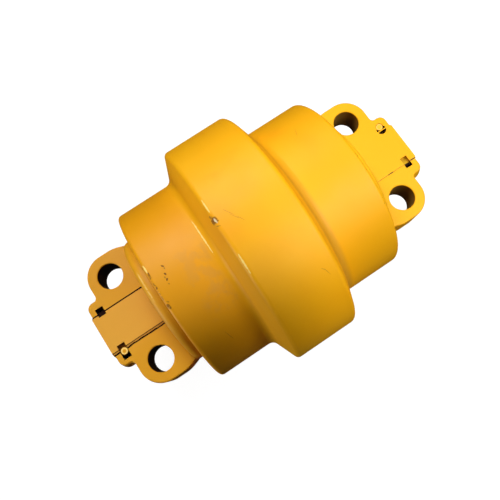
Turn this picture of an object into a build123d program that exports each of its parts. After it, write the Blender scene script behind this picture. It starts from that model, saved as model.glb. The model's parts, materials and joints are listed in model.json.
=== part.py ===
from build123d import *
import os

# Double-ended track roller for a heavy crawler machine. Millimetres.
# The roller turns about the Y axis. +Z is the normal of the faces that bolt against the track frame.
# "left" is the -Y end, "right" is the +Y end, and the origin is the roller's centre.

# ---- driving dimensions -------------------------------------------------------------------
TREAD_R = 120.0            # running surface of the treads
FLANGE_R = 155.0           # centre flange
FLANGE_TIP_HALF = 42.0     # half width of the flange at its rim
FLANGE_ROOT_HALF = 56.0    # half width of the flange where it meets the treads
FLANGE_RIM_ROUND = 6.0
FLANGE_ROOT_ROUND = 10.0
SHELL_HALF = 133.5         # half length of the roller shell
SHELL_END_ROUND = 4.5
SEAL_MOUTH_ROUND = 1.5     # inner edge of the shell's end
OIL_CHAMBER_R = 50.0       # hollow between the two bushes
OIL_CHAMBER_HALF = 36.0

SHAFT_R = 32.5
SHAFT_HALF = 230.5
SHAFT_END_CHAMFER = 1.5
FLAT_EDGE_CHAMFER = 1.0    # long edges of the shaft's flats
FACE_Z = 17.5              # height of the mount faces and the shaft's flats above the axis

BUSH_CLEARANCE = 0.06      # radial running clearance of the bushes on the shaft
BUSH_R = 37.5
BUSH_INNER_Y = 44.0        # inner end of a bush
BUSH_FLANGE_R = 46.0
BUSH_FLANGE_Y = 107.0      # seat of the bush flange
BUSH_FLANGE_THICK = 6.0
BUSH_FLANGE_ROUND = 1.0

COLLAR_CLEARANCE = 0.03    # radial clearance of the collars on the shaft
DISC_R = 88.0              # hub disc of a collar, cut flat at its sides in line with the ears
DISC_INNER_Y = 135.5
DISC_OUTER_Y = 149.0
DISC_INNER_ROUND = 2.0
DISC_OUTER_ROUND = 8.0
NOSE_R = 44.0              # sleeve that reaches in to the bush flange
NOSE_GAP = 0.2
NOSE_ROUND = 1.5
EAR_BOTTOM_Z = -25.0
EAR_R = 29.5               # lobe round a bolt hole
EAR_INNER_Y = 141.0        # inner wall of the ears, inside the hub disc
EAR_ROOT_Y = 147.0         # end of the straight side, in line with the disc's flat
EAR_ROOT_HALF = 85.5       # half width of the disc and of the ears there
EAR_FLARE = 13.0           # the ear's side starts to draw in this far inboard of the bolt hole
EAR_RIM_ROUND = 2.0        # edge of the mount face
BOLT_X = 61.5
BOLT_Y = 183.0
BOLT_HOLE_R = 16.5         # clearance hole for an M30 bolt
SHOULDER_R = 47.5          # barrel round the shaft's end
SHOULDER_Y = 229.0
SHOULDER_ROUND = 8.0
EDGE_BREAK = 0.8           # chamfer of the bolt hole mouths and the ears' lower edges
EAR_BLEND_R = 5.0          # hollow corner between a lobe and the barrel
PARTING_BREAK = 0.6        # broken edge of the collar along the shaft's flat

SEAL_FACE_Y = 134.5        # plane where the two seal rings of an end meet
SEAL_FACE_GAP = 0.05
SEAL_RECESS_R = 61.5
COLLAR_RECESS_Y = 145.8
SEAL_RING_R = (49.5, 53.5, 60.0)   # bore, sleeve and rim of a seal ring
SEAL_RIM_THICK = 2.8
SEAL_RING_LENGTH = 9.85
SEAL_RING_ROUND = 0.6
TORIC_R = 57.5             # centre circle of a toric
TORIC_TUBE_R = 3.9

O_RING_Y = 141.0
O_RING_GROOVE_R = 29.2
O_RING_GROOVE_WIDTH = 4.5
O_RING_TUBE_R = 1.6

PIN_LEFT_X = 28.6          # lock pin at the front of the left end
PIN_RIGHT_X = -32.8        # lock pin at the rear of the right end
PIN_Y = 216.0
PIN_R = 4.9
PIN_TOP_Z = 16.9
PIN_END_CHAMFER = 0.7
PIN_HOLE_R = 4.95
PIN_HOLE_BOTTOM_Z = -20.0
# square notches at PIN_Y: end, edge in the shaft, edge in the collar, half width
NOTCHES = (
    (-1, 18.5, 38.5, 5.3),
    (-1, -23.7, -34.8, 5.3),
    (1, 18.5, 33.4, 4.7),
)
NOTCH_SHAFT_DEPTH = 6.0
POCKET_X = -28.4           # round pocket beside the right end's pin, in shaft and collar
POCKET_R = 6.4

OIL_HOLE_R = 5.0
OIL_HOLE_END_Y = 6.0
OIL_CROSS_R = 4.0
PLUG_THREAD_R = 8.0
PLUG_THREAD_LENGTH = 16.0
PLUG_HEAD_R = 11.5
PLUG_HEAD_THICK = 5.0
PLUG_HEAD_CHAMFER = 0.8
PLUG_SOCKET_R = 4.6        # across the corners of the hexagon socket
PLUG_WASHER_THICK = 1.5
PLUG_POCKET_R = 13.0
PLUG_POCKET_DEPTH = 8.0


def turned(points, rounds=()):
    """Solid turned about Y from an outline of (radius, y) points; rounds are (point, radius)."""
    outline = make_face(Polyline(*points, close=True))
    for (radius, y), size in rounds:
        corner = outline.vertices().sort_by_distance(Vector(radius, y))[0]
        outline = fillet(corner, size)
    return revolve(outline, axis=Axis.Y)


def drum(radius, low_y, high_y):
    """Cylinder on the Y axis."""
    return turned([(0, low_y), (radius, low_y), (radius, high_y), (0, high_y)])


def block(low, high):
    """Box between two corners."""
    size = [b - a for a, b in zip(low, high)]
    centre = [(a + b) / 2 for a, b in zip(low, high)]
    return Pos(*centre) * Box(*size)


def post(x, y, radius, low_z, high_z):
    """Upright cylinder."""
    return Pos(x, y, (low_z + high_z) / 2) * Cylinder(radius, high_z - low_z)


def left_of(shape):
    """The same piece at the -Y end."""
    return mirror(shape, about=Plane.XZ)


def make_shell():
    """Roller body: two treads and the centre flange outside, seal recesses and bush seats inside."""
    half = [
        (OIL_CHAMBER_R, 0),
        (FLANGE_R, 0),
        (FLANGE_R, FLANGE_TIP_HALF),
        (TREAD_R, FLANGE_ROOT_HALF),
        (TREAD_R, SHELL_HALF),
        (SEAL_RECESS_R, SHELL_HALF),
        (SEAL_RECESS_R, BUSH_FLANGE_Y),
        (BUSH_R, BUSH_FLANGE_Y),
        (BUSH_R, OIL_CHAMBER_HALF + OIL_CHAMBER_R - BUSH_R),
        (OIL_CHAMBER_R, OIL_CHAMBER_HALF),
    ]
    rounds = [
        ((FLANGE_R, FLANGE_TIP_HALF), FLANGE_RIM_ROUND),
        ((TREAD_R, FLANGE_ROOT_HALF), FLANGE_ROOT_ROUND),
        ((TREAD_R, SHELL_HALF), SHELL_END_ROUND),
        ((SEAL_RECESS_R, SHELL_HALF), SEAL_MOUTH_ROUND),
    ]
    right = turned(half, rounds)
    return right + left_of(right)


def make_bush():
    """Flanged bearing bush of the right end."""
    bore = SHAFT_R + BUSH_CLEARANCE
    flange_end = BUSH_FLANGE_Y + BUSH_FLANGE_THICK
    outline = [
        (bore, BUSH_INNER_Y),
        (BUSH_R, BUSH_INNER_Y),
        (BUSH_R, BUSH_FLANGE_Y),
        (BUSH_FLANGE_R, BUSH_FLANGE_Y),
        (BUSH_FLANGE_R, flange_end),
        (bore, flange_end),
    ]
    return turned(outline, [((BUSH_FLANGE_R, flange_end), BUSH_FLANGE_ROUND)])


def make_shaft():
    """Fixed axle: round, with a flat, two notches and an O-ring groove at each end."""
    shaft = drum(SHAFT_R, -SHAFT_HALF, SHAFT_HALF)
    shaft = chamfer(shaft.edges().filter_by(GeomType.CIRCLE), SHAFT_END_CHAMFER)
    for side in (-1, 1):
        groove_low = side * O_RING_Y - O_RING_GROOVE_WIDTH / 2
        groove_high = side * O_RING_Y + O_RING_GROOVE_WIDTH / 2
        shaft -= drum(SHAFT_R + 1, groove_low, groove_high) - drum(O_RING_GROOVE_R, groove_low, groove_high)
        flat_ends = sorted((side * DISC_OUTER_Y, side * (SHAFT_HALF + 1)))
        shaft -= block((-SHAFT_R, flat_ends[0], FACE_Z), (SHAFT_R, flat_ends[1], SHAFT_R + 1))
    long_edges = [edge for edge in shaft.edges().filter_by(Axis.Y)
                  if abs(edge.center().Z - FACE_Z) < 0.1 and abs(edge.center().X) > 20]
    shaft = chamfer(long_edges, FLAT_EDGE_CHAMFER)
    notch_floor = FACE_Z - NOTCH_SHAFT_DEPTH
    for end, shaft_x, collar_x, half in NOTCHES:
        low_x, high_x = sorted((shaft_x, collar_x))
        shaft -= block((low_x, end * PIN_Y - half, notch_floor), (high_x, end * PIN_Y + half, FACE_Z + 1))
    shaft -= post(PIN_LEFT_X, -PIN_Y, PIN_HOLE_R, PIN_HOLE_BOTTOM_Z, FACE_Z + 1)
    shaft -= post(PIN_RIGHT_X, PIN_Y, PIN_HOLE_R, PIN_HOLE_BOTTOM_Z, FACE_Z + 1)
    shaft -= post(POCKET_X, PIN_Y, POCKET_R, notch_floor, FACE_Z + 1)
    pocket_y = -SHAFT_HALF + PLUG_POCKET_DEPTH
    shaft -= drum(PLUG_POCKET_R, -SHAFT_HALF - 1, pocket_y)
    shaft -= drum(PLUG_THREAD_R, pocket_y - 1, pocket_y + PLUG_THREAD_LENGTH + 2)
    shaft -= drum(OIL_HOLE_R, pocket_y, OIL_HOLE_END_Y)
    shaft -= Rot(0, 90, 0) * Cylinder(OIL_CROSS_R, 2 * SHAFT_R + 2)
    return shaft


def on_level(edge, z):
    """True for an edge that lies flat at this height."""
    box = edge.bounding_box()
    return abs(box.min.Z - z) < 0.01 and abs(box.max.Z - z) < 0.01


def collar_plan():
    """Plan of the two bolt ears of the right collar, without the shoulder."""
    lobe_side = BOLT_X + EAR_R
    lobe_top = BOLT_Y + EAR_R
    blend_y = BOLT_Y - EAR_FLARE
    root = Polyline((0, EAR_INNER_Y), (EAR_ROOT_HALF, EAR_INNER_Y), (EAR_ROOT_HALF, EAR_ROOT_Y))
    flare = Spline((EAR_ROOT_HALF, EAR_ROOT_Y), (lobe_side, blend_y), tangents=((0.3, 0.95), (0, 1)))
    side = Line((lobe_side, blend_y), (lobe_side, BOLT_Y))
    lobe = CenterArc((BOLT_X, BOLT_Y), EAR_R, 0, 90)
    top = Polyline((BOLT_X, lobe_top), (0, lobe_top), (0, EAR_INNER_Y))
    half = make_face([root, flare, side, lobe, top])
    return half + mirror(half, about=Plane.YZ)


def make_bracket():
    """Ears and round shoulder barrel of the right collar, cut flat at the mount face."""
    spare = 6.0            # height above the mount face, cut off once the hollow corners are blended
    ears = extrude(Pos(0, 0, EAR_BOTTOM_Z) * collar_plan(), FACE_Z + spare - EAR_BOTTOM_Z)
    barrel = turned(
        [(0, EAR_INNER_Y), (SHOULDER_R, EAR_INNER_Y), (SHOULDER_R, SHOULDER_Y), (0, SHOULDER_Y)],
        [((SHOULDER_R, SHOULDER_Y), SHOULDER_ROUND)])
    bracket = ears + barrel
    end_wall_y = BOLT_Y + EAR_R
    blends = [edge for edge in bracket.edges().filter_by(GeomType.CIRCLE)
              if abs(edge.radius - SHOULDER_R) < 0.01 and abs(edge.center().Y - end_wall_y) < 0.1
              and abs(edge.center().X) > 20]
    bracket = fillet(blends, EAR_BLEND_R)
    bracket -= block((-2 * DISC_R, 0, FACE_Z), (2 * DISC_R, SHOULDER_Y + 1, 2 * DISC_R))
    face_rim = [edge for edge in bracket.edges()
                if on_level(edge, FACE_Z) and edge.center().Y > EAR_INNER_Y + 1]
    bracket = fillet(face_rim, EAR_RIM_ROUND)
    lower_rim = [edge for edge in bracket.edges()
                 if on_level(edge, EAR_BOTTOM_Z) and abs(edge.center().X) > SHOULDER_R + EAR_BLEND_R]
    return chamfer(lower_rim, EDGE_BREAK)


def make_collar(pin_x, pocket_x, end):
    """Bracket drawn at the right end: hub disc with seal recess, nose, two bolt ears and the shoulder
    barrel, with the lock pin's hole, the pocket beside it where there is one, and the end's notches."""
    nose_y = BUSH_FLANGE_Y + BUSH_FLANGE_THICK + NOSE_GAP
    disc = turned(
        [(0, nose_y), (NOSE_R, nose_y), (NOSE_R, COLLAR_RECESS_Y), (SEAL_RECESS_R, COLLAR_RECESS_Y),
         (SEAL_RECESS_R, DISC_INNER_Y), (DISC_R, DISC_INNER_Y), (DISC_R, DISC_OUTER_Y), (0, DISC_OUTER_Y)],
        [((NOSE_R, nose_y), NOSE_ROUND), ((DISC_R, DISC_INNER_Y), DISC_INNER_ROUND),
         ((DISC_R, DISC_OUTER_Y), DISC_OUTER_ROUND)])
    sides = block((-EAR_ROOT_HALF, 0, -DISC_R), (EAR_ROOT_HALF, SHOULDER_Y, DISC_R))
    recess = drum(SEAL_RECESS_R, DISC_INNER_Y, COLLAR_RECESS_Y) - drum(NOSE_R, DISC_INNER_Y, COLLAR_RECESS_Y)
    collar = (disc & sides) + (make_bracket() - recess)
    collar -= drum(SHAFT_R + COLLAR_CLEARANCE, nose_y - 1, SHOULDER_Y + 1)
    collar -= block((-SHAFT_R, DISC_OUTER_Y, FACE_Z), (SHAFT_R, SHOULDER_Y + 1, DISC_R))
    for side in (-1, 1):
        collar -= post(side * BOLT_X, BOLT_Y, BOLT_HOLE_R, EAR_BOTTOM_Z - 1, FACE_Z + 1)
    collar -= post(pin_x, PIN_Y, PIN_HOLE_R, PIN_HOLE_BOTTOM_Z, FACE_Z + 1)
    if pocket_x:
        collar -= post(pocket_x, PIN_Y, POCKET_R, FACE_Z - NOTCH_SHAFT_DEPTH, FACE_Z + 1)
    for low_x, high_x, half in [(*sorted(notch[1:3]), notch[3]) for notch in NOTCHES if notch[0] == end]:
        collar -= block((low_x, PIN_Y - half, PIN_HOLE_BOTTOM_Z), (high_x, PIN_Y + half, FACE_Z + 1))
    mouths = [edge for edge in collar.edges().filter_by(GeomType.CIRCLE)
              if abs(edge.radius - BOLT_HOLE_R) < 0.01 and on_level(edge, FACE_Z)]
    collar = chamfer(mouths, EDGE_BREAK)
    partings = [edge for edge in collar.edges().filter_by(Axis.Y)
                if on_level(edge, FACE_Z) and abs(edge.center().X) < SHAFT_R]
    return chamfer(partings, PARTING_BREAK)


def make_seal_ring():
    """Metal seal ring of the collar side: a sleeve with a rim that carries the lapped face."""
    bore, sleeve, rim = SEAL_RING_R
    face_y = SEAL_FACE_Y + SEAL_FACE_GAP
    outline = [
        (bore, face_y),
        (rim, face_y),
        (rim, face_y + SEAL_RIM_THICK),
        (sleeve, face_y + SEAL_RIM_THICK),
        (sleeve, face_y + SEAL_RING_LENGTH),
        (bore, face_y + SEAL_RING_LENGTH),
    ]
    return turned(outline, [((rim, face_y), SEAL_RING_ROUND), ((bore, face_y), SEAL_RING_ROUND)])


def make_toric():
    """Rubber ring behind the collar-side seal ring."""
    centre_y = SEAL_FACE_Y + 2 * SEAL_FACE_GAP + SEAL_RIM_THICK + TORIC_TUBE_R
    return revolve(Pos(TORIC_R, centre_y) * Circle(TORIC_TUBE_R), axis=Axis.Y)


def roller_side(shape):
    """The collar-side seal piece mirrored across the seal face."""
    return mirror(shape, about=Plane.XZ.offset(-SEAL_FACE_Y))


def make_o_ring():
    """Static seal in the shaft's groove, inside the right collar."""
    centre_r = O_RING_GROOVE_R + O_RING_TUBE_R + 0.05
    return revolve(Pos(centre_r, O_RING_Y) * Circle(O_RING_TUBE_R), axis=Axis.Y)


def make_pin(x, y):
    """Round pin that keys the shaft to a collar, with broken end edges."""
    pin = post(x, y, PIN_R, PIN_HOLE_BOTTOM_Z + 0.2, PIN_TOP_Z)
    return chamfer(pin.edges().filter_by(GeomType.CIRCLE), PIN_END_CHAMFER)


def make_plug():
    """Screw plug with a hexagon socket in the shaft's left end."""
    seat_y = -SHAFT_HALF + PLUG_POCKET_DEPTH
    head_low = seat_y - PLUG_WASHER_THICK - PLUG_HEAD_THICK
    head = drum(PLUG_HEAD_R, head_low, seat_y - PLUG_WASHER_THICK)
    head = chamfer(head.edges().filter_by(GeomType.CIRCLE), PLUG_HEAD_CHAMFER)
    stem = drum(PLUG_THREAD_R - 0.05, seat_y - PLUG_WASHER_THICK - 0.5, seat_y + PLUG_THREAD_LENGTH)
    hexagon = extrude(RegularPolygon(PLUG_SOCKET_R, 6), PLUG_HEAD_THICK + 2)
    socket = Pos(0, head_low, 0) * Rot(-90, 0, 0) * hexagon
    return head + stem - socket


def make_plug_washer():
    """Soft sealing washer under the plug's head."""
    seat_y = -SHAFT_HALF + PLUG_POCKET_DEPTH
    low = seat_y - PLUG_WASHER_THICK
    return drum(PLUG_HEAD_R + 1.0, low, seat_y) - drum(PLUG_THREAD_R, low - 1, seat_y + 1)


def build_nodes():
    """Every piece under its node name; the pieces of the left end mirror those of the right."""
    nodes = {
        "roller_shell": make_shell(),
        "shaft": make_shaft(),
        "collar_right": make_collar(PIN_RIGHT_X, POCKET_X, 1),
        "collar_left": left_of(make_collar(PIN_LEFT_X, None, -1)),
        "lock_pin_right": make_pin(PIN_RIGHT_X, PIN_Y),
        "lock_pin_left": make_pin(PIN_LEFT_X, -PIN_Y),
    }
    ring = make_seal_ring()
    toric = make_toric()
    right_end = {
        "bush": make_bush(),
        "collar_seal_ring": ring,
        "collar_toric": toric,
        "roller_seal_ring": roller_side(ring),
        "roller_toric": roller_side(toric),
        "shaft_o_ring": make_o_ring(),
    }
    for name, piece in right_end.items():
        nodes[name + "_right"] = piece
        nodes[name + "_left"] = left_of(piece)
    nodes["filler_plug"] = make_plug()
    nodes["plug_washer"] = make_plug_washer()
    return nodes


if __name__ == "__main__":
    os.makedirs("parts", exist_ok=True)
    for name, piece in build_nodes().items():
        export_step(piece, "parts/" + name + ".step")
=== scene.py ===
import json
import math

import bpy
from mathutils import Matrix, Vector, noise


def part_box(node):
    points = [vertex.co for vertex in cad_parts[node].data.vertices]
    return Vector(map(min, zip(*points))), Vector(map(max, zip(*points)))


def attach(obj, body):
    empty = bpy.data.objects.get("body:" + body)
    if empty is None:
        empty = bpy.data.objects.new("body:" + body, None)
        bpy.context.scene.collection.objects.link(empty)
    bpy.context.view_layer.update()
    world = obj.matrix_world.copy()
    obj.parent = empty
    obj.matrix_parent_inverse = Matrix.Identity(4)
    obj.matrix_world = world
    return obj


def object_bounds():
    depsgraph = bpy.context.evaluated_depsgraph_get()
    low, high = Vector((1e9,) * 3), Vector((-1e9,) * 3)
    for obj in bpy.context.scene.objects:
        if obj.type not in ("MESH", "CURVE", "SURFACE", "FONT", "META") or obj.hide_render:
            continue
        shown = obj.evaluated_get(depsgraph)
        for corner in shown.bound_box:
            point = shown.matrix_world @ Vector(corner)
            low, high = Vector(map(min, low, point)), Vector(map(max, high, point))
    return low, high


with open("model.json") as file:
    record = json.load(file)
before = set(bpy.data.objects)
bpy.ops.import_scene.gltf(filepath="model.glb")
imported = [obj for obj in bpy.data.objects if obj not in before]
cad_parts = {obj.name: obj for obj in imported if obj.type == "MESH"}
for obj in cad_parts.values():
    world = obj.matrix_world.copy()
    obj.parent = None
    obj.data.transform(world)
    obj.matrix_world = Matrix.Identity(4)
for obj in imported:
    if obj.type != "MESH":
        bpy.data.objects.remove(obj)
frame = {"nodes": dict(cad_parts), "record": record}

# Looks of the double-ended track roller. Metres. The roller turns about Y, +Z is the mount side,
# the left end is at -Y, and angles round the roller are measured from +Z towards +X.

MM = 0.001
cad_low, cad_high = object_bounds()

# ---- sizes, from the frame where it has them ----------------------------------------------
FLANGE_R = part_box("roller_shell")[1].z
SHELL_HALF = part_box("roller_shell")[1].y
SHAFT_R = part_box("shaft")[1].x
MOUNTS = {mount["name"]: mount for mount in frame["record"]["mounts"]}
FACE_Z = MOUNTS["left_face"]["pos_m"][2]
PARTING_X = math.sqrt(SHAFT_R ** 2 - FACE_Z ** 2)     # where the shaft's flat meets the collar
DISC_END = 149 * MM                # outer face of a collar's hub disc
SHOULDER_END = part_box("collar_right")[1].y
TREAD_R = 120 * MM
FLANGE_ROOT = 56 * MM
TREAD_START_MM = 60                # a mark further out than this lies on a tread
SEAL_MOUTH = (61.2 * MM, 62.5 * MM)   # radii between which the paint ends inside the shell

BOLTS = MOUNTS["frame_bolts"]["dims"]
BOLT_X = BOLTS["spacing_x_mm"] / 2 * MM
BOLT_Y = BOLTS["spacing_y_mm"] / 2 * MM
HOLE_R = BOLTS["hole_r_mm"] * MM

PINS = [(low + high) / 2 for low, high in (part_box("lock_pin_left"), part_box("lock_pin_right"))]
PIN_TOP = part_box("lock_pin_right")[1].z
PIN_R = (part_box("lock_pin_right")[1].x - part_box("lock_pin_right")[0].x) / 2
PIN_Y = PINS[1].y
# notches beside the lock pins: end, edge in the shaft, edge in the collar, half width, all in mm
NOTCHES = ((-1, 18.5, 38.5, 5.3), (-1, -23.7, -34.8, 5.3), (1, 18.5, 33.4, 4.7))
POCKET_X = -28.4 * MM              # round pocket beside the right pin
POCKET_R = 6.4 * MM

# ---- paint colours, scene linear ----------------------------------------------------------
ENAMEL = (0.85, 0.392, 0.003)
# painted shade: darker, more orange enamel for the left tread
ENAMEL_LEFT_SHADED = (0.75, 0.315, 0.002)
ENAMEL_LEMON = (0.88, 0.43, 0.006)
ENAMEL_ORANGE = (0.82, 0.335, 0.002)
# dust and painted sheen for the front of the left tread
DUST_AND_SHEEN_PAINT = (0.62, 0.29, 0.04)
# painted shade for the right flange root
ROOT_SHADE_BROWN = (0.58, 0.27, 0.012)
# painted light: lighter copies of the enamel for the right end
RIGHT_COLLAR_LIT = (0.87, 0.425, 0.005)
RIGHT_LEMON_LIT = (0.90, 0.48, 0.01)
RIGHT_ORANGE_LIT = (0.86, 0.41, 0.004)
# painted shade down the right collar's bolt holes
RIGHT_HOLE_WALL = (0.20, 0.10, 0.012)
# painted shade on the right notch's floor
RIGHT_NOTCH_SHADE = (0.58, 0.33, 0.010)
# painted shade: darker copies of the enamel for the left end
LEFT_COLLAR_SHADED = (0.73, 0.335, 0.009)
LEFT_LEMON_SHADED = (0.77, 0.37, 0.02)
LEFT_ORANGE_SHADED = (0.69, 0.30, 0.006)
LEFT_SHAFT_SHADED = (0.78, 0.375, 0.034)
SHAFT_LEMON_SHADED = (0.80, 0.40, 0.045)
SHAFT_ORANGE_SHADED = (0.74, 0.35, 0.018)
PIN_PAINT = (0.90, 0.47, 0.03)
PIN_LEMON = (0.95, 0.52, 0.05)
PIN_ORANGE = (0.86, 0.38, 0.02)
# painted highlight on the pins' rims
PIN_RIM_HIGHLIGHT = (1.0, 0.72, 0.22)
PIN_CENTRE = (0.80, 0.34, 0.01)
# black and brown used both for dirt and for painted shade
DIRT_AND_SHADE_BLACK = (0.016, 0.003, 0.001)
RUST_AND_SHADE_BROWN = (0.19, 0.060, 0.004)
SCUFF = (0.34, 0.13, 0.006)
JOINT_BAND_BROWN = (0.38, 0.16, 0.008)
BARE_STEEL = (0.70, 0.58, 0.34)
# painted highlight
HIGHLIGHT_PAINT = (0.95, 0.72, 0.22)
GROUND_STEEL = (0.48, 0.47, 0.46)
BORE_METAL = (0.20, 0.19, 0.18)


class Surface:
    """A Principled material, with short calls for the nodes that feed it."""

    def __init__(self, name, colour, rough):
        self.material = bpy.data.materials.new(name)
        self.material.use_nodes = True
        self.tree = self.material.node_tree
        self.shader = self.tree.nodes["Principled BSDF"]
        self.place = self.tree.nodes.new("ShaderNodeTexCoord").outputs["Object"]
        split = self.tree.nodes.new("ShaderNodeSeparateXYZ")
        self.tree.links.new(self.place, split.inputs[0])
        self.x, self.y, self.z = split.outputs
        self.colour = colour
        self.rough = rough
        self.metal = 0.0
        self.bumps = []

    def feed(self, socket, value):
        if isinstance(value, bpy.types.NodeSocket):
            self.tree.links.new(value, socket)
        elif isinstance(value, tuple) and socket.type == "RGBA":
            socket.default_value = (*value, 1.0)
        else:
            socket.default_value = value

    def math(self, operation, *values):
        node = self.tree.nodes.new("ShaderNodeMath")
        node.operation = operation
        for socket, value in zip(node.inputs, values):
            self.feed(socket, value)
        return node.outputs[0]

    def scaled_place(self, stretch, shift):
        node = self.tree.nodes.new("ShaderNodeVectorMath")
        node.operation = "MULTIPLY_ADD"
        self.feed(node.inputs[0], self.place)
        self.feed(node.inputs[1], stretch)
        self.feed(node.inputs[2], (shift, shift, shift))
        return node.outputs[0]

    def noise(self, size, detail=3.0, roughness=0.5, stretch=(1, 1, 1), shift=0.0):
        """Noise from 0 to 1 whose blotches are about this many metres across."""
        node = self.tree.nodes.new("ShaderNodeTexNoise")
        self.feed(node.inputs["Vector"], self.scaled_place(stretch, shift))
        node.inputs["Scale"].default_value = 1 / size
        node.inputs["Detail"].default_value = detail
        node.inputs["Roughness"].default_value = roughness
        return node.outputs[0]

    def step(self, value, low, high):
        """Smooth rise from 0 at low to 1 at high; it falls where low is above high."""
        node = self.tree.nodes.new("ShaderNodeMapRange")
        node.interpolation_type = "SMOOTHSTEP"
        self.feed(node.inputs[0], value)
        self.feed(node.inputs[1], low)
        self.feed(node.inputs[2], high)
        return node.outputs[0]

    def near(self, value, centre, half, soft):
        """1 within half of the centre, then falling to 0 over soft."""
        away = self.math("ABSOLUTE", self.math("SUBTRACT", value, centre))
        return self.step(away, half + soft, half)

    def both(self, *masks):
        result = masks[0]
        for mask in masks[1:]:
            result = self.math("MULTIPLY", result, mask)
        return result

    def either(self, *masks):
        result = masks[0]
        for mask in masks[1:]:
            result = self.math("MAXIMUM", result, mask)
        return result

    def length(self, a, b):
        return self.math("SQRT", self.math("ADD", self.math("MULTIPLY", a, a), self.math("MULTIPLY", b, b)))

    def blend(self, factor, a, b):
        node = self.tree.nodes.new("ShaderNodeMix")
        node.data_type = "FLOAT"
        self.feed(node.inputs[0], factor)
        self.feed(node.inputs[2], a)
        self.feed(node.inputs[3], b)
        return node.outputs[0]

    def tint(self, factor, colour):
        """Lays a colour over what is there, as far as the factor says."""
        node = self.tree.nodes.new("ShaderNodeMix")
        node.data_type = "RGBA"
        self.feed(node.inputs[0], factor)
        self.feed(node.inputs[6], self.colour)
        self.feed(node.inputs[7], colour)
        self.colour = node.outputs[2]

    def layer(self, mask, colour, rough, metal=None, lift=None):
        """Lays another finish over the surface; lift in metres raises or sinks it."""
        self.tint(mask, colour)
        self.rough = self.blend(mask, self.rough, rough)
        if metal is not None:
            self.metal = self.blend(mask, self.metal, metal)
        if lift is not None:
            self.bumps.append((mask, lift))

    def finish(self):
        self.feed(self.shader.inputs["Base Color"], self.colour)
        self.feed(self.shader.inputs["Roughness"], self.rough)
        self.feed(self.shader.inputs["Metallic"], self.metal)
        normal = None
        for height, depth in self.bumps:
            node = self.tree.nodes.new("ShaderNodeBump")
            node.inputs["Strength"].default_value = 1.0
            node.inputs["Distance"].default_value = abs(depth)
            node.invert = depth < 0
            self.feed(node.inputs["Height"], height)
            if normal:
                self.feed(node.inputs["Normal"], normal)
            normal = node.outputs[0]
        if normal:
            self.feed(self.shader.inputs["Normal"], normal)
        return self.material


# ---- paints -------------------------------------------------------------------------------
def enamel(name, colour, lemon, orange, rough=0.50):
    """Sprayed enamel over cast or milled steel: cloudy colour, orange peel and soft waves."""
    s = Surface(name, colour, rough)
    s.shader.inputs["Specular IOR Level"].default_value = 0.24
    cloud = s.noise(0.11, 2.0, 0.55)
    s.tint(s.step(cloud, 0.50, 0.80), lemon)
    s.tint(s.step(cloud, 0.45, 0.15), orange)
    streak = s.noise(0.035, 4.0, 0.6, stretch=(1, 0.6, 1), shift=3.0)
    s.tint(s.math("MULTIPLY", s.step(streak, 0.55, 0.80), 0.45), orange)
    dust = s.noise(0.004, 5.0, 0.7, shift=7.0)
    s.tint(s.math("MULTIPLY", s.step(dust, 0.55, 0.8), 0.25), lemon)
    s.rough = s.blend(s.noise(0.025, 4.0, 0.6, shift=5.0), rough - 0.09, rough + 0.09)
    s.bumps.append((s.noise(0.030, 2.0, 0.5, shift=1.0), 0.00030))
    s.bumps.append((s.noise(0.0022, 2.0, 0.6, shift=2.0), 0.000020))
    return s


def chip(s, angle, radius, theta, y, along, across, tilt):
    """Ragged oval on the roller: along is round the roller, across along its axis, in mm."""
    arc = s.math("MULTIPLY", s.math("SUBTRACT", angle, math.radians(theta)), radius)
    side = s.math("SUBTRACT", s.y, y * MM)
    turn = math.radians(tilt)
    u = s.math("ADD", s.math("MULTIPLY", arc, math.cos(turn)), s.math("MULTIPLY", side, math.sin(turn)))
    v = s.math("SUBTRACT", s.math("MULTIPLY", side, math.cos(turn)), s.math("MULTIPLY", arc, math.sin(turn)))
    oval = s.length(s.math("DIVIDE", u, along * MM), s.math("DIVIDE", v, across * MM))
    ragged = s.math("ADD", oval, s.math("MULTIPLY", s.math("SUBTRACT", s.ragged, 0.5), 2.2))
    return s.step(ragged, 1.15, 0.85)


# marks on the roller, painted highlights first and wear after: angle in degrees and y, then half sizes
# round the roller and along it, in mm, and the tilt in degrees
HIGHLIGHT_STREAKS = (
    (-11.5, -41.0, 8, 0.8, 0), (15.5, -40.6, 11, 0.8, 0), (-6.0, -60.5, 22, 0.7, 0),
    (-8.0, -131.0, 5, 1.1, 0),
)
DARK_MARKS = (
    (-5.0, -130.5, 2.6, 1.0, 0), (-2.6, -131.3, 1.0, 0.5, 20), (3.2, -131.0, 1.7, 0.9, -15),
    (14.0, -131.2, 1.6, 1.3, 20), (15.6, -130.2, 1.3, 0.8, -30), (-5.0, -113.7, 1.9, 0.8, 35),
    (-0.5, -115.3, 1.5, 0.9, 20), (2.4, -116.8, 1.7, 1.0, -25),
)
SCUFFS = (
    (-3.9, -131.0, 3.0, 1.3, 0), (0.8, -131.6, 1.6, 0.6, 0), (6.6, -131.6, 1.4, 0.6, 30),
    (9.4, -131.9, 2.4, 0.6, 0), (12.2, -129.0, 1.4, 0.6, 50), (14.6, -131.0, 2.8, 2.0, 10),
    (-3.2, -112.8, 1.4, 0.8, 0), (1.0, -117.6, 1.4, 0.9, 0), (4.8, -117.6, 1.1, 0.8, 40),
    (-6.6, -43.4, 2.6, 0.8, 10), (-1.8, -41.6, 2.4, 0.7, 60),
)
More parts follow.
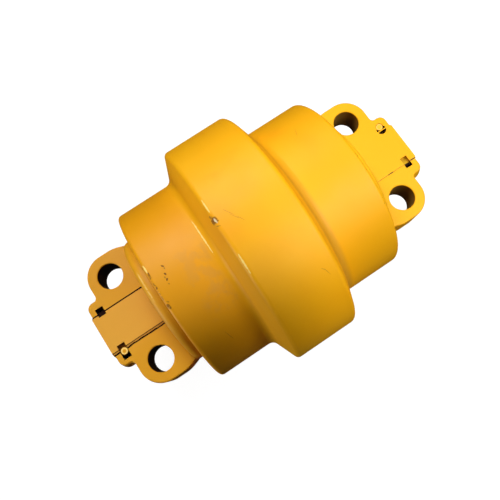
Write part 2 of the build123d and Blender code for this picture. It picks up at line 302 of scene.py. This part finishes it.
SCRATCHES = (
    (-4.0, -24.6, 7.0, 0.30, 30), (-1.2, -21.6, 6.0, 0.28, 32), (0.6, -17.6, 4.5, 0.30, 28),
    (37.0, 29.0, 5.0, 0.35, 18), (35.2, 26.6, 2.6, 0.30, 40), (48.0, -95.0, 9.0, 0.3, 12),
    (-30.0, 96.0, 6.0, 0.3, -20), (140.0, 10.0, 9.0, 0.4, 15), (-120.0, -20.0, 12.0, 0.4, -12),
    (178.0, 90.0, 8.0, 0.4, 30), (-150.0, 85.0, 5.0, 0.5, 0),
)


def roller_paint():
    """The shell: enamel with worn and dirty places, painted highlights and painted shade, bare metal inside.
    """
    s = enamel("roller_enamel", ENAMEL, ENAMEL_LEMON, ENAMEL_ORANGE)
    s.ragged = s.noise(0.0035, 4.0, 0.65, shift=11.0)
    radius = s.length(s.x, s.z)
    side = s.math("ABSOLUTE", s.y)
    angle = s.math("ARCTAN2", s.x, s.z)

    def mark(theta, y, along, across, tilt):
        radius_there = FLANGE_R if abs(y) < TREAD_START_MM else TREAD_R
        return chip(s, angle, radius_there, theta, y, along, across, tilt)

    # painted shade: the paint turns darker and more orange on the left tread; at its front, duller patches
    # of dust and painted sheen
    drift = s.math("MULTIPLY_ADD", s.noise(0.05, 2.0, 0.5, shift=17.0), 0.02, s.y)
    s.tint(s.step(drift, -0.035, -0.075), ENAMEL_LEFT_SHADED)
    dust_and_sheen = s.both(s.step(s.noise(0.018, 3.0, 0.6, shift=19.0), 0.45, 0.62),
                   s.near(s.y, -80 * MM, 12 * MM, 14 * MM),
                   s.near(angle, math.radians(14), math.radians(13), math.radians(16)))
    s.tint(s.math("MULTIPLY", dust_and_sheen, 0.4), DUST_AND_SHEEN_PAINT)

    # painted shade in the hollow corners beside the flange, browner at the right; at the left painted light,
    # as pale as the flange
    root_shade = s.both(s.near(radius, TREAD_R, 9 * MM, 12 * MM), s.near(side, FLANGE_ROOT, 2 * MM, 8 * MM))
    cloudy = s.blend(s.noise(0.03, 4.0, 0.6, shift=21.0), 0.05, 0.6)
    s.tint(s.math("MULTIPLY", root_shade, cloudy), ENAMEL_ORANGE)
    right_root_shade = s.both(root_shade, s.step(s.y, 0.0, 0.01), s.step(angle, -0.8, 0.1), s.step(angle, 3.0, 2.0))
    s.tint(s.math("MULTIPLY", right_root_shade, 0.9), ROOT_SHADE_BROWN)
    left_root_light = s.both(root_shade, s.step(s.y, 0.0, -0.01))
    s.tint(s.math("MULTIPLY", left_root_light, 0.8), ENAMEL)

    # painted highlights: pale streaks on the flange's rim, in the left root and at the tread's end; then
    # flecks on the treads' end edges
    for streak in HIGHLIGHT_STREAKS:
        s.layer(mark(*streak), HIGHLIGHT_PAINT, 0.25)
    end_edge = s.both(s.near(side, SHELL_HALF - 1.8 * MM, 0.8 * MM, 0.9 * MM),
                      s.step(radius, 113 * MM, 115 * MM))
    patches = s.step(s.noise(0.05, 2.0, 0.5, shift=31.0), 0.48, 0.58)
    flecks = s.step(s.noise(0.0045, 6.0, 0.8, shift=33.0), 0.57, 0.66)
    s.layer(s.both(end_edge, patches, flecks), RUST_AND_SHADE_BROWN, 0.6, lift=-0.00015)

    # the rim's knocked place: scuffed paint, a dark core and a pale bare edge
    s.layer(mark(-4.4, -41.4, 4.6, 3.0, 20), SCUFF, 0.7, lift=-0.0003)
    s.layer(mark(-4.7, -41.8, 2.2, 1.4, 20), RUST_AND_SHADE_BROWN, 0.8)
    s.layer(mark(-4.0, -40.9, 3.2, 0.9, 10), BARE_STEEL, 0.4)
    for fleck in DARK_MARKS:
        s.layer(mark(*fleck), RUST_AND_SHADE_BROWN, 0.8, lift=-0.0001)
    for scuff in SCUFFS:
        s.tint(s.math("MULTIPLY", mark(*scuff), 0.7), SCUFF)
    for scratch in SCRATCHES:
        s.tint(s.math("MULTIPLY", mark(*scratch), 0.6), SCUFF)

    # sparse flecks all round, so that no side is bare of wear
    specks = s.step(s.noise(0.010, 5.0, 0.75, shift=41.0), 0.735, 0.76)
    s.layer(specks, SCUFF, 0.7)

    # unpainted inside: the seal recess and the bore
    inside = s.step(radius, SEAL_MOUTH[1], SEAL_MOUTH[0])
    s.layer(inside, BORE_METAL, 0.45, metal=0.8)
    return s.finish()


def bolt_hole_wall(s):
    """1 on the wall of a bolt hole, from just under its mouth."""
    across = s.math("SUBTRACT", s.math("ABSOLUTE", s.x), BOLT_X)
    along = s.math("SUBTRACT", s.math("ABSOLUTE", s.y), BOLT_Y)
    inside = s.step(s.length(across, along), HOLE_R + 0.5 * MM, HOLE_R + 0.2 * MM)
    return s.both(inside, s.step(s.z, FACE_Z - 0.6 * MM, FACE_Z - 2.2 * MM))


def notch(s, end, edge_a, edge_b, half):
    """1 in the plan of one square notch, between two x edges in mm."""
    low, high = sorted((edge_a, edge_b))
    along = s.near(s.math("MULTIPLY", s.y, end), PIN_Y, (half - 0.1) * MM, 0.3 * MM)
    return s.both(along, s.step(s.x, (low - 0.2) * MM, (low + 0.1) * MM),
                  s.step(s.x, (high + 0.2) * MM, (high - 0.1) * MM))


def pocket(s):
    """1 in the plan of the round pocket beside the right pin."""
    away = s.length(s.math("SUBTRACT", s.x, POCKET_X), s.math("SUBTRACT", s.y, PIN_Y))
    return s.step(away, POCKET_R + 0.2 * MM, POCKET_R)


def near_face(s):
    """1 from just above the mount face to a few millimetres under it."""
    return s.both(s.step(s.z, FACE_Z - 6 * MM, FACE_Z - 4 * MM),
                  s.step(s.z, FACE_Z + 0.8 * MM, FACE_Z + 0.3 * MM))


def parting(s, sign_x, sign_y, half, soft, wave=0.0):
    """1 along one parting line between shaft and collar; wave makes it wander."""
    centre = PARTING_X
    if wave:
        wander = s.math("SUBTRACT", s.noise(0.008, 3.0, 0.6, shift=51.0), 0.5)
        centre = s.math("MULTIPLY_ADD", wander, wave, PARTING_X)
    line = s.near(s.math("MULTIPLY", s.x, sign_x), centre, half, soft)
    end = s.step(s.math("MULTIPLY", s.y, sign_y), DISC_END - 0.3 * MM, DISC_END + 0.3 * MM)
    return s.both(line, end, near_face(s))


def dirty_partings(s):
    """Dark joint lines at the left end; at the right end the paint has closed most of them."""
    s.layer(parting(s, -1, -1, 0.7 * MM, 0.3 * MM), DIRT_AND_SHADE_BLACK, 0.95)
    # a brown band along the left end's +X joint on the shaft side, with a dark line along its top
    edge = s.math("MULTIPLY_ADD", s.noise(0.006, 4.0, 0.6, shift=55.0), 1.2 * MM, s.x)
    stain = s.both(s.step(edge, 23.9 * MM, 24.5 * MM), s.step(s.x, 28.6 * MM, 28.0 * MM),
                   s.step(s.y, -DISC_END, -DISC_END - 1 * MM), near_face(s))
    s.layer(s.math("MULTIPLY", stain, 0.75), JOINT_BAND_BROWN, 0.7)
    upper = s.both(stain, s.near(edge, 24.9 * MM, 0.25 * MM, 0.4 * MM))
    s.layer(upper, DIRT_AND_SHADE_BLACK, 0.95)
    s.layer(parting(s, 1, -1, 0.8 * MM, 0.3 * MM, wave=3.4 * MM), DIRT_AND_SHADE_BLACK, 0.95)
    faint = parting(s, 1, 1, 0.25 * MM, 0.35 * MM)
    s.tint(s.math("MULTIPLY", faint, 0.4), RUST_AND_SHADE_BROWN)
    open_place = s.near(s.y, 190 * MM, 3 * MM, 2 * MM)
    open_end = s.step(s.y, PIN_Y + 3 * MM, PIN_Y + 8 * MM)
    gap = s.both(parting(s, 1, 1, 0.5 * MM, 0.5 * MM, wave=1.8 * MM), s.either(open_place, open_end))
    s.tint(s.math("MULTIPLY", gap, 0.8), DIRT_AND_SHADE_BLACK)


def collar_paint(name, colour, lemon, orange, wall):
    """A collar: enamel, painted shade in its corners, notches and bolt holes, dirt in its joints; wall
    colours its bolt holes.
    """
    s = enamel(name, colour, lemon, orange)
    s.ragged = s.noise(0.0035, 4.0, 0.65, shift=13.0)
    side = s.math("ABSOLUTE", s.y)

    # mottled painted shade where the ears and the hub disc meet, and painted shade on the hub disc's low
    # side
    joint = s.both(s.near(side, DISC_END, 0.6 * MM, 2.5 * MM), s.step(s.z, FACE_Z + 1 * MM, FACE_Z - 1 * MM))
    s.tint(s.math("MULTIPLY", joint, s.blend(s.noise(0.02, 4.0, 0.6, shift=61.0), 0.1, 0.8)), RUST_AND_SHADE_BROWN)
    low_side_shade = s.both(s.step(s.z, 8 * MM, -12 * MM), s.step(side, DISC_END + 4 * MM, DISC_END))
    s.tint(s.math("MULTIPLY", low_side_shade, 0.45), RUST_AND_SHADE_BROWN)

    # painted shade, nearly black, under the shoulder beside the left pin, and a pale painted highlight along
    # the left hub disc
    under = s.both(s.step(s.y, -203 * MM, -212 * MM),
                   s.step(s.x, 30 * MM, 34 * MM), s.step(s.x, 54 * MM, 44 * MM),
                   s.step(s.z, FACE_Z - 2.5 * MM, FACE_Z - 6 * MM), s.step(s.z, -14 * MM, 4 * MM),
                   s.step(s.noise(0.012, 4.0, 0.6, shift=65.0), 0.30, 0.45))
    s.layer(s.math("MULTIPLY", under, 0.9), DIRT_AND_SHADE_BLACK, 0.8)
    angle = s.math("ARCTAN2", s.x, s.z)
    streak = s.both(s.near(s.y, -144.5 * MM, 0.5 * MM, 0.8 * MM),
                    s.near(angle, math.radians(-6), math.radians(8), math.radians(8)),
                    s.step(s.ragged, 0.35, 0.55))
    s.layer(s.math("MULTIPLY", streak, 0.6), HIGHLIGHT_PAINT, 0.3)

    dirty_partings(s)
    # painted shade down in the notches and the pocket, and on the bolt holes' walls
    below_face = s.both(s.step(s.z, FACE_Z - 0.3 * MM, FACE_Z - 1.2 * MM), s.step(s.z, -28 * MM, -24 * MM))
    for end, shaft_x, collar_x, half in NOTCHES:
        outer = collar_x + math.copysign(0.4, collar_x)
        s.layer(s.both(notch(s, end, shaft_x, outer, half + 0.4), below_face), DIRT_AND_SHADE_BLACK, 0.95)
    s.layer(s.both(pocket(s), below_face), DIRT_AND_SHADE_BLACK, 0.95)
    s.layer(bolt_hole_wall(s), wall, 0.6)

    flecks = s.step(s.noise(0.009, 5.0, 0.75, shift=71.0), 0.725, 0.75)
    s.layer(flecks, RUST_AND_SHADE_BROWN, 0.6)
    return s.finish()


def axle_paint():
    """The shaft: each end painted like its collar, the left end darker as painted shade, the right end
    lighter as painted light; ground steel between the collars.
    """
    s = enamel("shaft_enamel", LEFT_SHAFT_SHADED, SHAFT_LEMON_SHADED, SHAFT_ORANGE_SHADED)
    right = s.step(s.y, -1 * MM, 1 * MM)
    s.tint(right, RIGHT_COLLAR_LIT)
    side = s.math("ABSOLUTE", s.y)
    dirty_partings(s)
    below_face = s.both(s.step(s.z, FACE_Z - 0.4 * MM, FACE_Z - 1.4 * MM), s.step(s.z, 6 * MM, 10 * MM))
    # painted shade on the notch floors and down the pocket: brown, black and dark yellow
    floors = (RUST_AND_SHADE_BROWN, DIRT_AND_SHADE_BLACK, RIGHT_NOTCH_SHADE)
    for (end, shaft_x, collar_x, half), floor in zip(NOTCHES, floors):
        well = s.both(notch(s, end, shaft_x, collar_x, half), below_face)
        s.layer(well, floor, 0.9)
        s.layer(s.both(well, s.step(s.math("ABSOLUTE", s.x), 26.4 * MM, 27.4 * MM)), DIRT_AND_SHADE_BLACK, 0.95)
    s.layer(s.both(pocket(s), below_face), DIRT_AND_SHADE_BLACK, 0.95)
    bare = s.step(side, DISC_END - 0.2 * MM, DISC_END - 1.2 * MM)
    s.layer(bare, GROUND_STEEL, 0.3, metal=1.0)
    return s.finish()


def pin_paint():
    """Painted pin ends: a painted highlight round the rim, painted shade in the crevice round them and down
    their sides.
    """
    s = enamel("pin_enamel", PIN_PAINT, PIN_LEMON, PIN_ORANGE)
    away = [s.length(s.math("SUBTRACT", s.x, pin.x), s.math("SUBTRACT", s.y, pin.y)) for pin in PINS]
    radius = s.math("MINIMUM", *away)
    rim_highlight = s.near(radius, PIN_R - 1.5 * MM, 0.4 * MM, 0.5 * MM)
    s.tint(s.both(rim_highlight, s.blend(s.step(s.y, -0.01, 0.01), 1.0, 0.35)), PIN_RIM_HIGHLIGHT)
    s.tint(s.both(s.near(radius, 0, 1.2 * MM, 1.4 * MM), s.step(s.y, 0.01, -0.01)), PIN_CENTRE)
    s.layer(s.step(radius, PIN_R - 0.6 * MM, PIN_R - 0.1 * MM), RUST_AND_SHADE_BROWN, 0.8)
    s.layer(s.step(s.z, PIN_TOP - 0.5 * MM, PIN_TOP - 1.5 * MM), DIRT_AND_SHADE_BLACK, 0.9)
    return s.finish()


# ---- bare materials -----------------------------------------------------------------------
def turned_metal(name, colour, rough, groove, metal=1.0):
    """Machined metal: fine rings about the axis, cloudy stains and a varying shine."""
    s = Surface(name, colour, rough)
    s.metal = metal
    radius = s.length(s.x, s.z)
    rings = s.math("SINE", s.math("MULTIPLY", s.math("ADD", radius, s.y), math.tau / groove))
    s.bumps.append((rings, 0.000012))
    stain = s.noise(0.012, 5.0, 0.65)
    darker = tuple(c * 0.55 for c in colour)
    s.tint(s.math("MULTIPLY", s.step(stain, 0.5, 0.75), 0.7), darker)
    s.rough = s.blend(s.noise(0.004, 4.0, 0.6, shift=3.0), rough - 0.1, rough + 0.15)
    return s.finish()


def moulded_rubber():
    s = Surface("moulded_rubber", (0.022, 0.022, 0.024), 0.62)
    s.tint(s.step(s.noise(0.006, 4.0, 0.6), 0.5, 0.8), (0.05, 0.048, 0.045))
    s.rough = s.blend(s.noise(0.003, 4.0, 0.6, shift=2.0), 0.5, 0.75)
    s.bumps.append((s.noise(0.0009, 3.0, 0.6, shift=4.0), 0.00003))
    return s.finish()


def dress_nodes():
    """Gives every CAD node its finish."""
    finishes = {
        "roller_shell": roller_paint(),
        # the left collar gets the darker copy as painted shade, the right collar the lighter copy as painted
        # light
        "collar_left": collar_paint("collar_enamel_left_shaded", LEFT_COLLAR_SHADED, LEFT_LEMON_SHADED, LEFT_ORANGE_SHADED, DIRT_AND_SHADE_BLACK),
        "collar_right": collar_paint("collar_enamel_right_lit", RIGHT_COLLAR_LIT, RIGHT_LEMON_LIT, RIGHT_ORANGE_LIT,
                                     RIGHT_HOLE_WALL),
        "shaft": axle_paint(),
        "lock_pin": pin_paint(),
        "bush": turned_metal("bearing_bronze", (0.60, 0.40, 0.17), 0.32, 0.0004),
        "seal_ring": turned_metal("lapped_iron", (0.52, 0.52, 0.53), 0.28, 0.0003),
        "filler_plug": turned_metal("zinc_plate", (0.74, 0.73, 0.68), 0.50, 0.0005, metal=0.6),
        "plug_washer": turned_metal("soft_copper", (0.72, 0.38, 0.22), 0.38, 0.0006),
        "toric": moulded_rubber(),
    }
    finishes["o_ring"] = finishes["toric"]
    for name, node in frame["nodes"].items():
        material = next(m for key, m in finishes.items() if key in name)
        node.data.materials.clear()
        node.data.materials.append(material)


def paint_bead(name, sign_x, low_y, high_y, gaps=()):
    """Paint that has run into a parting line of the right end and closed it; gaps stay open."""
    rows = 120
    half, top, sunk = 1.5 * MM, FACE_Z + 0.04 * MM, FACE_Z - 0.5 * MM
    points, faces = [], []
    for i in range(rows + 1):
        y = low_y + (high_y - low_y) * i / rows
        open_here = any(low < y < high for low, high in gaps)
        width = half * (1 + 0.35 * noise.noise(Vector((0.3, y * 300, 0.7))))
        sag = 0.03 * MM * abs(noise.noise(Vector((5.1, y * 500, 2.2))))
        height = sunk + 0.1 * MM if open_here else top - sag
        middle = sign_x * PARTING_X
        section = ((-width, FACE_Z + 0.005 * MM), (-width * 0.5, height), (width * 0.5, height),
                   (width, FACE_Z + 0.005 * MM), (width, sunk), (-width, sunk))
        if open_here:
            section = tuple((x * 0.5, min(z, sunk + 0.1 * MM)) for x, z in section)
        points += [(middle + x, y, z) for x, z in section]
    ring = 6
    for i in range(rows):
        for k in range(ring):
            a, b = i * ring + k, i * ring + (k + 1) % ring
            faces.append((a, a + ring, b + ring, b))
    faces.append(tuple(range(ring)))
    faces.append(tuple(reversed(range(rows * ring, rows * ring + ring))))
    bead = new_mesh_object(name, points, faces)
    paint = enamel(name + "_enamel", RIGHT_COLLAR_LIT, RIGHT_LEMON_LIT, RIGHT_ORANGE_LIT)
    bead.data.materials.append(paint.finish())
    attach(bead, "axle_assembly")


# ---- studio -------------------------------------------------------------------------------
def new_mesh_object(name, vertices, faces):
    mesh = bpy.data.meshes.new(name)
    mesh.from_pydata(vertices, [], faces)
    piece = bpy.data.objects.new(name, mesh)
    bpy.context.scene.collection.objects.link(piece)
    return piece


def add_camera():
    data = bpy.data.cameras.new("camera")
    data.lens = 38.47
    data.sensor_width = 36.0
    data.clip_start = 0.01
    camera = bpy.data.objects.new("camera", data)
    bpy.context.scene.collection.objects.link(camera)
    eye = Vector((0.1289, -0.0723, 0.6828))
    forward = Vector((-0.1759, 0.0813, -0.981)).normalized()
    up = Vector((-0.8139, 0.5485, 0.1914))
    right = forward.cross(up).normalized()
    up = right.cross(forward)
    camera.matrix_world = Matrix((right, up, -forward)).transposed().to_4x4()
    camera.location = eye
    bpy.context.scene.camera = camera


# name, place, watts and diameter of each soft panel; all of them face the roller
PANELS = (
    ("overhead_left", (-0.85, -0.08, 1.18), 17.3, 0.8),
    ("front_right", (0.52, 0.48, 1.00), 13.6, 0.9),
    ("left_end", (0.16, -1.60, 0.08), 11.0, 0.5),
)
FLAG_ANGLE = math.radians(27)      # the card stands square to the front panel's light
FLAG_AWAY = 0.26
FLAG_EDGE_Y = 0.035
FLAG_REAR = -0.20
FLAG_FRONT = 0.35
FLAG_END_Y = -0.80


def soft_light(name, place, power, size):
    data = bpy.data.lights.new(name, "AREA")
    data.shape = "DISK"
    data.size = size
    data.energy = power
    lamp = bpy.data.objects.new(name, data)
    bpy.context.scene.collection.objects.link(lamp)
    lamp.location = place
    lamp.rotation_euler = Vector(place).to_track_quat("Z", "Y").to_euler()
    lamp.visible_camera = False


def add_flag():
    """Studio flag: a card, seen only as a soft shadow, that keeps the front panel off the left end."""
    middle = Vector((math.sin(FLAG_ANGLE), 0, math.cos(FLAG_ANGLE))) * FLAG_AWAY
    across = Vector((math.cos(FLAG_ANGLE), 0, -math.sin(FLAG_ANGLE)))
    corners = []
    for y, side in ((FLAG_EDGE_Y, FLAG_REAR), (FLAG_EDGE_Y, FLAG_FRONT),
                    (FLAG_END_Y, FLAG_FRONT), (FLAG_END_Y, FLAG_REAR)):
        corners.append(middle + across * side + Vector((0, y, 0)))
    card = new_mesh_object("flag", corners, [(0, 1, 2, 3)])
    card.data.materials.append(glow("flag_black", 0.0, 0.0))
    card.visible_camera = False
    card.visible_diffuse = False
    card.visible_glossy = False


def add_lights():
    for name, place, power, size in PANELS:
        soft_light(name, place, power, size)
    add_flag()


def glow(name, strength, diffuse):
    """Pale studio surface: partly lit by the lamps, partly bright of itself."""
    material = bpy.data.materials.new(name)
    material.use_nodes = True
    shader = material.node_tree.nodes["Principled BSDF"]
    shader.inputs["Base Color"].default_value = (diffuse, diffuse, diffuse, 1)
    shader.inputs["Roughness"].default_value = 0.9
    shader.inputs["Specular IOR Level"].default_value = 0.0
    shader.inputs["Emission Color"].default_value = (1, 1, 1, 1)
    shader.inputs["Emission Strength"].default_value = strength
    return material


def add_stage():
    """Pale floor under the flange, with a far white wall all round."""
    reach = 6.0
    z = cad_low.z
    corners = [(-reach, -reach, z), (reach, -reach, z), (reach, reach, z), (-reach, reach, z)]
    floor = new_mesh_object("floor", corners, [(0, 1, 2, 3)])
    floor.data.materials.append(glow("floor_white", 0.92, 0.2))
    wall_r = 5.5
    sides = 48
    turns = [math.tau * i / sides for i in range(sides)]
    ring = [(math.cos(turn) * wall_r, math.sin(turn) * wall_r) for turn in turns]
    points = [(x, y, z - 0.01) for x, y in ring] + [(x, y, z + 8) for x, y in ring]
    faces = [(i, (i + 1) % sides, sides + (i + 1) % sides, sides + i) for i in range(sides)]
    wall = new_mesh_object("wall", points, faces)
    wall.data.materials.append(glow("wall_white", 0.9, 0.1))
    for piece in (floor, wall):
        piece.visible_diffuse = False
        piece.visible_glossy = False
    world = bpy.data.worlds.new("studio")
    world.use_nodes = True
    world.node_tree.nodes["Background"].inputs["Color"].default_value = (1, 1, 1, 1)
    world.node_tree.nodes["Background"].inputs["Strength"].default_value = 0.02
    bpy.context.scene.world = world
    bpy.context.scene.view_settings.view_transform = "Standard"


add_camera()
add_lights()
add_stage()
dress_nodes()
pocket_gap = (PIN_Y - POCKET_R, PIN_Y + POCKET_R)
paint_bead("paint_bead_rear", -1, DISC_END + 1 * MM, SHOULDER_END - 2 * MM, (pocket_gap,))
